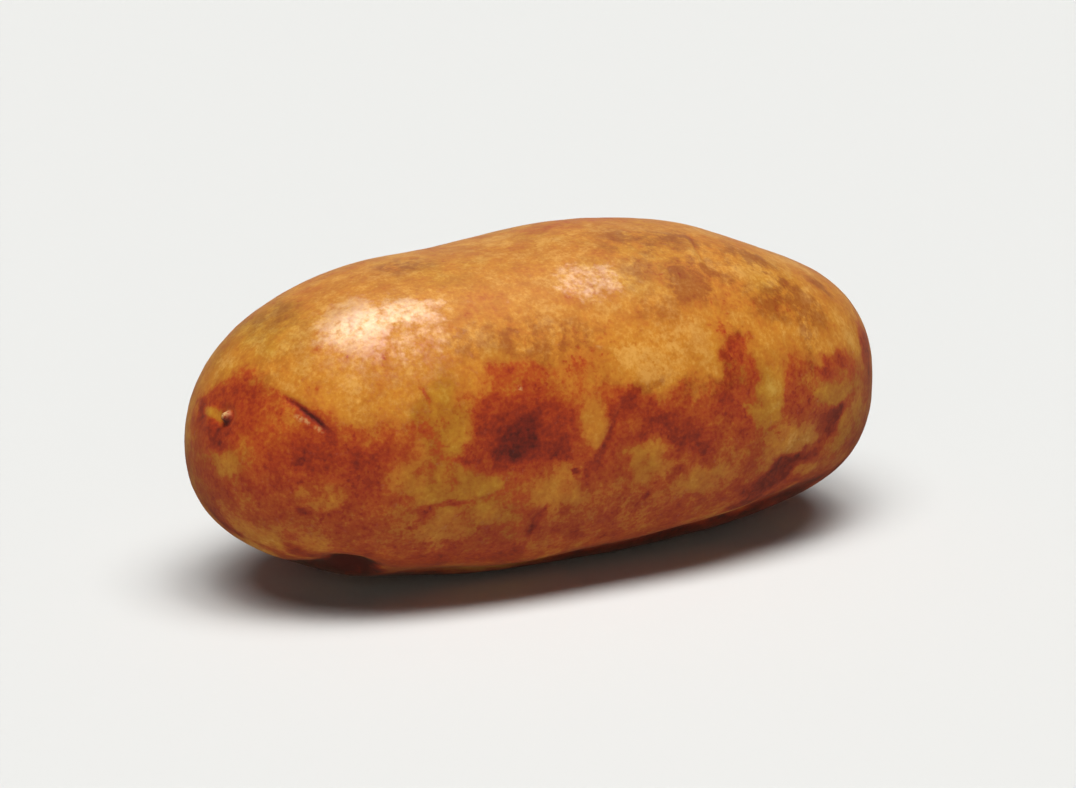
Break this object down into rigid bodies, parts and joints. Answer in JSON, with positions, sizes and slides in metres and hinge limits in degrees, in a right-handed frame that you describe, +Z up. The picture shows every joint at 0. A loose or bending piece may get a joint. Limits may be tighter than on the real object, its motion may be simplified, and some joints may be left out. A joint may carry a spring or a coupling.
{
  "type": "potato",
  "caption": "Long russet-type baking potato with smooth mottled gold and rust skin and shallow eyes, lying on its belly.",
  "frame": {"origin": "on the table, under the middle of the tuber's box", "axes": "+X along the tuber from the bud end to the stem end, +Z up, -Y towards the side that the picture shows"},
  "size_m": [0.1312, 0.0628, 0.0592],
  "materials": {
    "potato_skin": "satin, mottled gold and rust"
  },
  "bodies": {
    "root": {"potato": "potato_skin"}
  },
  "joints": []
}
